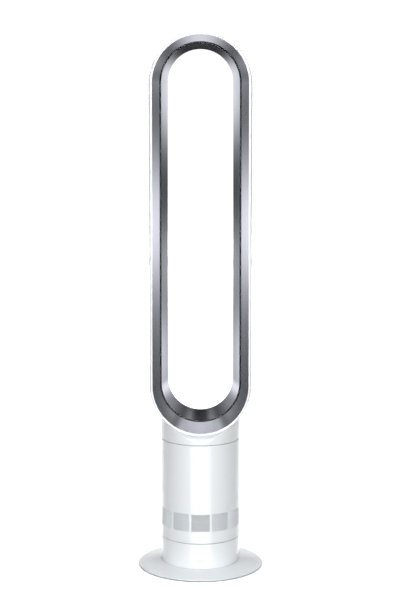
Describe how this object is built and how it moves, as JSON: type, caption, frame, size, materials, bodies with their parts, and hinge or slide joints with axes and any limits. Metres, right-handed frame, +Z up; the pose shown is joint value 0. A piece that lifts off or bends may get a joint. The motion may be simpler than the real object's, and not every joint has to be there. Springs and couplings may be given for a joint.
{
  "type": "tower fan",
  "caption": "Bladeless tower fan: tall narrow racetrack loop that blows air from a slot, on a swivelling cylinder with an inlet band and a thin round floor disc.",
  "frame": {"origin": "on the floor, on the upright axis of the cylindrical body, at the centre of the floor disc", "axes": "+Z up, -Y towards the front of the fan where the power button is, +X to the right of someone who looks at the front"},
  "size_m": [0.234, 0.234, 1.007],
  "materials": {
    "white_abs": "moulded ABS, polished gloss",
    "silver_band": "fine brushed silver lacquer",
    "ballast_steel": "black powder coat on steel plate",
    "rubber_grey": "matt moulded rubber",
    "screw_steel": "zinc plated steel",
    "board_green": "solder-masked board",
    "acetal_white": "satin acetal",
    "nylon_grey": "satin glass-filled nylon",
    "motor_zinc": "drawn zinc-plated can",
    "bearing_steel": "ground bearing steel",
    "stator_iron": "varnished laminations",
    "magnet_dark": "bonded magnet",
    "foam_charcoal": "open-cell acoustic foam",
    "screen_grey": "finely perforated moulding"
  },
  "bodies": {
    "base": {"base_disc": "white_abs", "ballast_plate": "ballast_steel", "rubber_feet": "rubber_grey", "base_screws": "screw_steel", "base_collar": "white_abs", "cord_gland": "rubber_grey", "button_switch": "nylon_grey", "control_board": "board_green", "bearing_deck": "nylon_grey", "slide_ring": "acetal_white", "pivot_post": "nylon_grey", "retaining_clip": "screw_steel", "oscillation_motor": "motor_zinc"},
    "power_button": {"power_button": "white_abs"},
    "drive_pinion": {"drive_pinion": "acetal_white", "pinion_shaft": "bearing_steel"},
    "turning_body": {"turntable": "nylon_grey", "oscillation_gear": "acetal_white", "main_shell": "white_abs", "inlet_screens": "screen_grey", "isolator_ring": "rubber_grey", "impeller_housing": "nylon_grey", "fan_stator": "stator_iron", "motor_bucket_lower": "nylon_grey", "motor_frame": "motor_zinc", "motor_cap": "nylon_grey", "driver_board": "board_green", "motor_bucket_upper": "nylon_grey", "diffuser": "nylon_grey", "upper_foam": "foam_charcoal", "lower_foam": "foam_charcoal", "air_collar": "white_abs", "collar_seal": "rubber_grey", "neck_shell": "white_abs", "loop_shell": "white_abs", "loop_front_band": "silver_band", "loop_inner_band": "silver_band", "slot_spacers": "nylon_grey", "lower_bearing": "bearing_steel", "upper_bearing": "bearing_steel"},
    "fan_wheel": {"impeller": "nylon_grey", "fan_shaft": "bearing_steel", "fan_rotor": "magnet_dark"}
  },
  "joints": [
    {"name": "oscillation", "type": "hinge", "parent": "base", "child": "turning_body", "pos_m": [0, 0, 0.05], "axis": [0, 0, 1], "range_deg": [-35, 35]},
    {"name": "drive_pinion_spin", "type": "hinge", "parent": "base", "child": "drive_pinion", "pos_m": [0.046, 0, 0.036], "axis": [0, 0, 1], "range_deg": [-234, 234]},
    {"name": "power_button_press", "type": "slide", "parent": "base", "child": "power_button", "axis": [0, 1, 0], "range_m": [0, 0.0008], "stiffness_N_per_m": 300, "springref_m": -0.0008},
    {"name": "fan_wheel_spin", "type": "hinge", "parent": "turning_body", "child": "fan_wheel", "pos_m": [0, 0, 0.14], "axis": [0, 0, 1], "continuous": true}
  ],
  "couplings": [
    {"joint": "drive_pinion_spin", "follows": "oscillation", "ratio": -6.6667}
  ]
}
